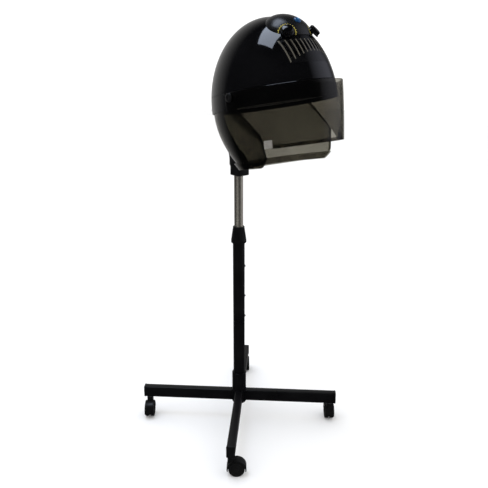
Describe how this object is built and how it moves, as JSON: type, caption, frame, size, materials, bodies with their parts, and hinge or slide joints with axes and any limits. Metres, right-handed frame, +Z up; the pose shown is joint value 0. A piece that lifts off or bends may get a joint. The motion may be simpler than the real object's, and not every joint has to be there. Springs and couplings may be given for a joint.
{
  "type": "standing hood dryer",
  "caption": "Standing salon hood dryer: gloss black dome with smoked visor and neck skirt on a tilting, swivelling, height-adjustable pole over a legged castor base.",
  "frame": {"origin": "on the floor, under the middle of the whole object's box", "axes": "+Z up along the column, the hood's open face and visor towards -Y, +X to the hood's own left"},
  "size_m": [0.524, 0.6356, 1.3105],
  "materials": {
    "satin_black_paint": "satin black powder coat",
    "black_plastic": "fine-grained black moulding",
    "gloss_black_plastic": "polished black moulding",
    "wheel_tread": "black castor tread",
    "chrome": "bright chrome plating",
    "steel": "plain zinc-bright steel",
    "smoked_clear_plastic": "smoked see-through sheet",
    "grey_plastic": "grey heat-proof moulding",
    "pale_grey_pad": "pale grey pad",
    "blue_lens": "translucent blue lens"
  },
  "bodies": {
    "base": {"base_hub": "satin_black_paint", "hub_screw": "steel", "column_tube": "satin_black_paint", "column_rivet_1": "satin_black_paint", "column_rivet_2": "satin_black_paint", "column_rivet_3": "satin_black_paint", "column_bush": "black_plastic", "lock_collet": "black_plastic", "leg_front": "satin_black_paint", "leg_right": "satin_black_paint", "leg_rear": "satin_black_paint", "leg_left": "satin_black_paint", "leg_cap_front": "black_plastic", "leg_cap_right": "black_plastic", "leg_cap_rear": "black_plastic", "leg_cap_left": "black_plastic", "castor_front_stem": "steel", "castor_right_stem": "steel", "castor_rear_stem": "steel", "castor_left_stem": "steel"},
    "lock_collar": {"lock_collar": "black_plastic"},
    "mast": {"pole_tube": "chrome", "pole_glide": "black_plastic"},
    "carrier": {"hood_bracket": "black_plastic", "socket_bush": "black_plastic"},
    "hood": {"tilt_clevis": "black_plastic", "tilt_pin": "steel", "hood_dome": "gloss_black_plastic", "hood_band": "gloss_black_plastic", "vent_grille": "black_plastic", "inner_bonnet": "grey_plastic", "neck_skirt": "smoked_clear_plastic", "visor_washer_left": "black_plastic", "visor_washer_right": "black_plastic", "visor_pivot_left": "black_plastic", "visor_pivot_right": "black_plastic", "control_pod": "black_plastic", "timer_unit": "grey_plastic", "heat_switch": "grey_plastic", "lamp_lens": "blue_lens", "motor_bracket": "steel", "fan_motor": "steel", "heater_frame": "grey_plastic", "heater_coil": "steel", "thermal_cutout": "pale_grey_pad"},
    "tilt_knob": {"tilt_knob": "black_plastic"},
    "visor": {"visor": "smoked_clear_plastic", "visor_tab_left": "pale_grey_pad", "visor_tab_right": "pale_grey_pad"},
    "timer_knob": {"timer_knob": "gloss_black_plastic"},
    "heat_knob": {"heat_knob": "gloss_black_plastic"},
    "fan_impeller": {"fan_impeller": "grey_plastic"},
    "castor_front": {"castor_front_body": "black_plastic"},
    "wheels_front": {"castor_front_wheels": "wheel_tread"},
    "castor_right": {"castor_right_body": "black_plastic"},
    "wheels_right": {"castor_right_wheels": "wheel_tread"},
    "castor_rear": {"castor_rear_body": "black_plastic"},
    "wheels_rear": {"castor_rear_wheels": "wheel_tread"},
    "castor_left": {"castor_left_body": "black_plastic"},
    "wheels_left": {"castor_left_wheels": "wheel_tread"}
  },
  "joints": [
    {"name": "castor_front_swivel", "type": "hinge", "parent": "base", "child": "castor_front", "pos_m": [-0.22026, -0.16746, 0.069], "axis": [0, 0, 1], "continuous": true},
    {"name": "castor_front_roll", "type": "hinge", "parent": "castor_front", "child": "wheels_front", "pos_m": [-0.20819, -0.17796, 0.02469], "axis": [0.6561, 0.7547, 0], "continuous": true},
    {"name": "castor_right_swivel", "type": "hinge", "parent": "base", "child": "castor_right", "pos_m": [0.22026, -0.16746, 0.069], "axis": [0, 0, 1], "continuous": true},
    {"name": "castor_right_roll", "type": "hinge", "parent": "castor_right", "child": "wheels_right", "pos_m": [0.23076, -0.15539, 0.02469], "axis": [-0.7547, 0.6561, 0], "continuous": true},
    {"name": "castor_rear_swivel", "type": "hinge", "parent": "base", "child": "castor_rear", "pos_m": [0.22026, 0.27306, 0.069], "axis": [0, 0, 1], "continuous": true},
    {"name": "castor_rear_roll", "type": "hinge", "parent": "castor_rear", "child": "wheels_rear", "pos_m": [0.23076, 0.28514, 0.02469], "axis": [-0.7547, 0.6561, 0], "continuous": true},
    {"name": "castor_left_swivel", "type": "hinge", "parent": "base", "child": "castor_left", "pos_m": [-0.22026, 0.27306, 0.069], "axis": [0, 0, 1], "continuous": true},
    {"name": "castor_left_roll", "type": "hinge", "parent": "castor_left", "child": "wheels_left", "pos_m": [-0.23076, 0.26099, 0.02469], "axis": [0.7547, -0.6561, 0], "continuous": true},
    {"name": "collar_twist", "type": "hinge", "parent": "base", "child": "lock_collar", "pos_m": [0, 0.0528, 0.688], "axis": [0, 0, 1], "range_deg": [0, 90]},
    {"name": "height_slide", "type": "slide", "parent": "base", "child": "mast", "axis": [0, 0, 1], "range_m": [-0.14, 0.2]},
    {"name": "hood_swivel", "type": "hinge", "parent": "mast", "child": "carrier", "pos_m": [0, 0.0528, 0.88], "axis": [0, 0, 1], "range_deg": [-170, 170]},
    {"name": "hood_tilt", "type": "hinge", "parent": "carrier", "child": "hood", "pos_m": [0, 0.1448, 1.04493], "axis": [1, 0, 0], "range_deg": [-25, 6]},
    {"name": "tilt_knob_turn", "type": "hinge", "parent": "hood", "child": "tilt_knob", "pos_m": [0, 0.1448, 1.04493], "axis": [1, 0, 0], "range_deg": [0, 270]},
    {"name": "visor_flip", "type": "hinge", "parent": "hood", "child": "visor", "pos_m": [0, -0.09918, 1.1], "axis": [-1, 0, 0], "range_deg": [0, 32]},
    {"name": "timer_knob_turn", "type": "hinge", "parent": "hood", "child": "timer_knob", "pos_m": [-0.0467, -0.19379, 1.26208], "axis": [0.4252, 0.5224, -0.7391], "range_deg": [0, 300]},
    {"name": "heat_knob_turn", "type": "hinge", "parent": "hood", "child": "heat_knob", "pos_m": [0.0467, -0.19379, 1.26208], "axis": [-0.4252, 0.5224, -0.7391], "range_deg": [0, 270]},
    {"name": "fan_spin", "type": "hinge", "parent": "hood", "child": "fan_impeller", "pos_m": [0, -0.07265, 1.23645], "axis": [0, 0.1908, 0.9816], "continuous": true}
  ]
}
